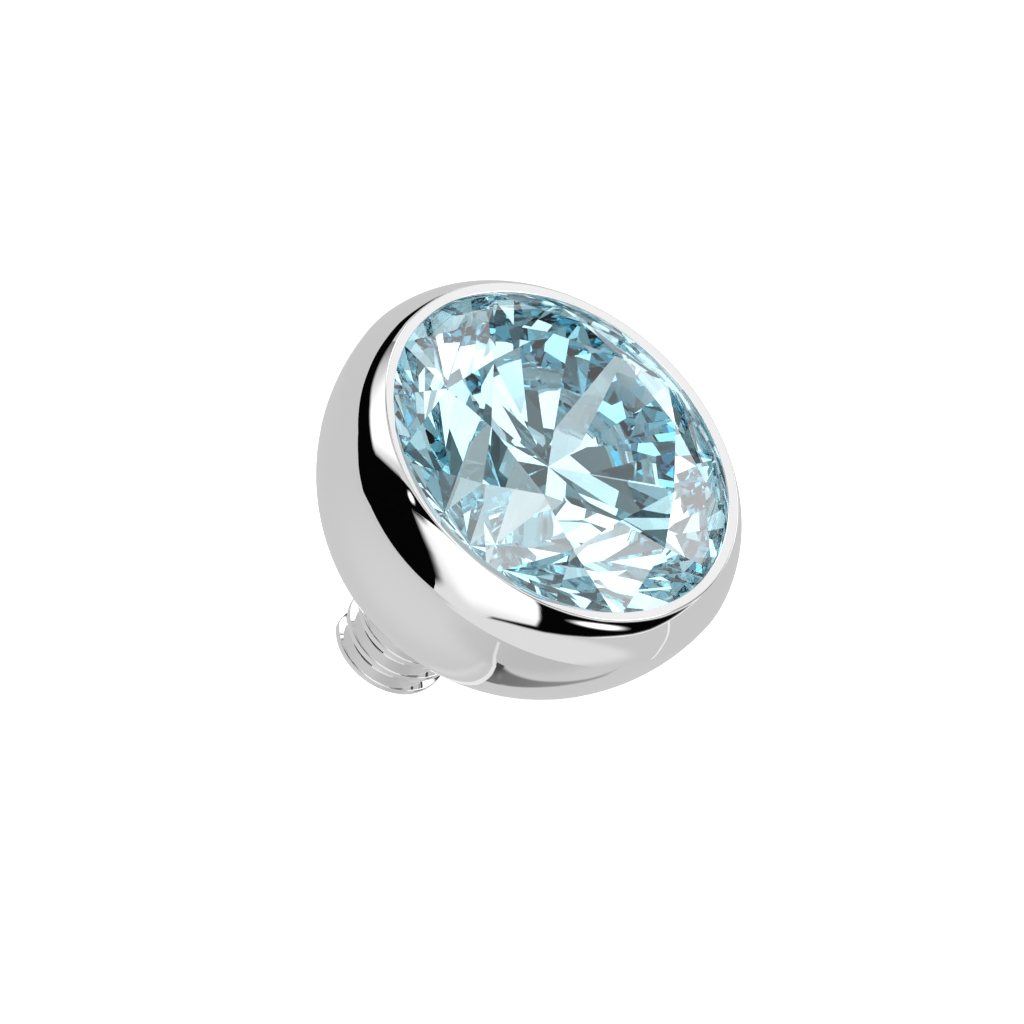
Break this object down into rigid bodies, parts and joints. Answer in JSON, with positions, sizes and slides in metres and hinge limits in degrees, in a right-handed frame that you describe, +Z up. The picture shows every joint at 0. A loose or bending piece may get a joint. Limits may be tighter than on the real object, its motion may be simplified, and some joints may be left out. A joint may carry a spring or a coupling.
{
  "type": "threaded gem ball",
  "caption": "Ball-shaped metal end for body jewellery, cut flat at the back, with a round brilliant held flush in a rolled bezel and a short externally threaded post",
  "frame": {"origin": "On the table under the middle of the jewel's bounding box, where it lies on its side", "axes": "+Z up. The jewel lies on the ball's side and the end of its post: the stone faces +X and up, about 32 degrees above the table, the post points to -X and down. Y is level across the jewel"},
  "size_m": [0.0046, 0.0044, 0.0042],
  "materials": {
    "polished_steel": "mirror-polished surgical steel",
    "aqua_stone": "clear pale aqua cubic zirconia, facets polished"
  },
  "bodies": {
    "root": {"setting": "polished_steel", "gem": "aqua_stone"}
  },
  "joints": []
}
